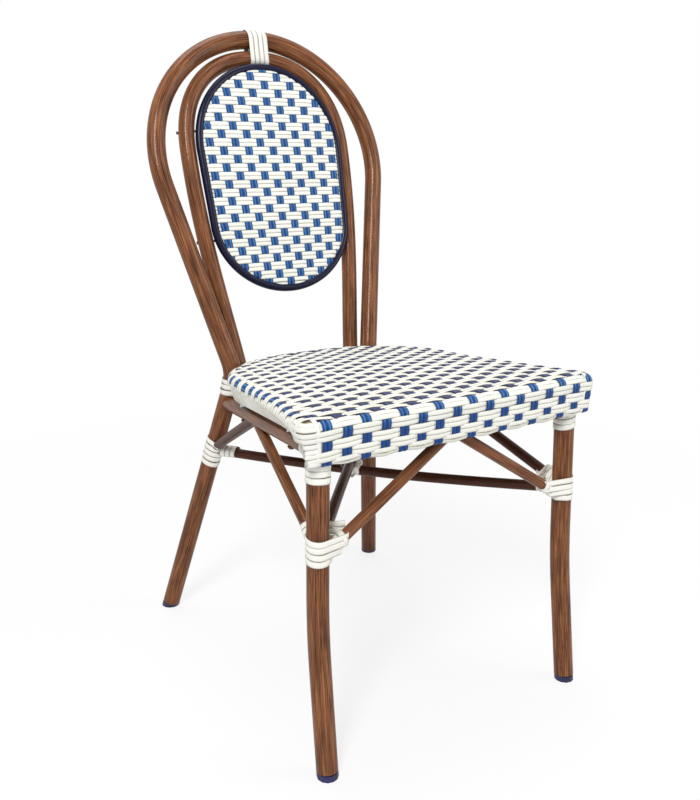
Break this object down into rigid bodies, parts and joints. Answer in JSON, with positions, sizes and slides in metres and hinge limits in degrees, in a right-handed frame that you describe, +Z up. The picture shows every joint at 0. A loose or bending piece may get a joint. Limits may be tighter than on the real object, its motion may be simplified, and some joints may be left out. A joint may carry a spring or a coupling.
{
  "type": "bistro chair",
  "caption": "Armless bistro side chair: bent brown tube frame with double hoop back, an oval woven back panel, a woven seat and wrapped joints.",
  "frame": {"origin": "on the ground plane, under the middle of the chair's bounding box", "axes": "+Z up from the feet to the crown of the back, +Y from the front of the seat to the back, +X to the right of somebody who faces the front of the chair"},
  "size_m": [0.4658, 0.5932, 0.9451],
  "materials": {
    "brown_tube": "satin brown with a streaked bamboo look",
    "dark_tube": "satin dark brown with a streaked bamboo look",
    "woven_strand": "flat synthetic strands, cream white with blue ones woven in",
    "white_strap": "satin flat strap, off white",
    "navy_piping": "glossy navy cord",
    "glide_plastic": "matt navy",
    "bare_aluminium": "mill finish",
    "zinc_steel": "zinc plated"
  },
  "bodies": {
    "root": {"front_leg_left": "brown_tube", "front_leg_right": "brown_tube", "rear_frame_tube": "brown_tube", "inner_hoop_tube": "brown_tube", "side_rail_left": "brown_tube", "side_rail_right": "brown_tube", "front_rail": "dark_tube", "rear_rail": "dark_tube", "cross_stretcher_lower": "dark_tube", "cross_stretcher_upper": "dark_tube", "front_brace_left": "brown_tube", "front_brace_right": "brown_tube", "rear_brace_left": "dark_tube", "rear_brace_right": "dark_tube", "left_brace_front": "brown_tube", "left_brace_rear": "brown_tube", "right_brace_front": "brown_tube", "right_brace_rear": "brown_tube", "cross_rivet": "zinc_steel", "foot_glide_front_left": "glide_plastic", "foot_glide_front_right": "glide_plastic", "foot_glide_rear_left": "glide_plastic", "foot_glide_rear_right": "glide_plastic", "seat_weave": "woven_strand", "seat_frame_ring": "bare_aluminium", "seat_support_bar_front": "bare_aluminium", "seat_support_bar_rear": "bare_aluminium", "seat_spacer_front_left": "bare_aluminium", "seat_spacer_front_right": "bare_aluminium", "seat_spacer_rear_left": "bare_aluminium", "seat_spacer_rear_right": "bare_aluminium", "seat_bolt_front_left": "zinc_steel", "seat_bolt_front_right": "zinc_steel", "seat_bolt_rear_left": "zinc_steel", "seat_bolt_rear_right": "zinc_steel", "panel_screw_lower_left": "zinc_steel", "panel_screw_lower_right": "zinc_steel", "panel_screw_upper_left": "zinc_steel", "panel_screw_upper_right": "zinc_steel", "back_panel_piping": "navy_piping", "back_panel_ring": "bare_aluminium", "back_panel_weave_front": "woven_strand", "back_panel_weave_rear": "woven_strand", "front_joint_binding_left": "white_strap", "front_joint_binding_right": "white_strap", "rear_joint_binding_left": "white_strap", "rear_joint_binding_right": "white_strap", "leg_top_binding_left": "white_strap", "leg_top_binding_right": "white_strap", "rear_seat_binding_left": "white_strap", "rear_seat_binding_right": "white_strap", "crown_binding": "white_strap", "cross_binding": "white_strap"}
  },
  "joints": []
}
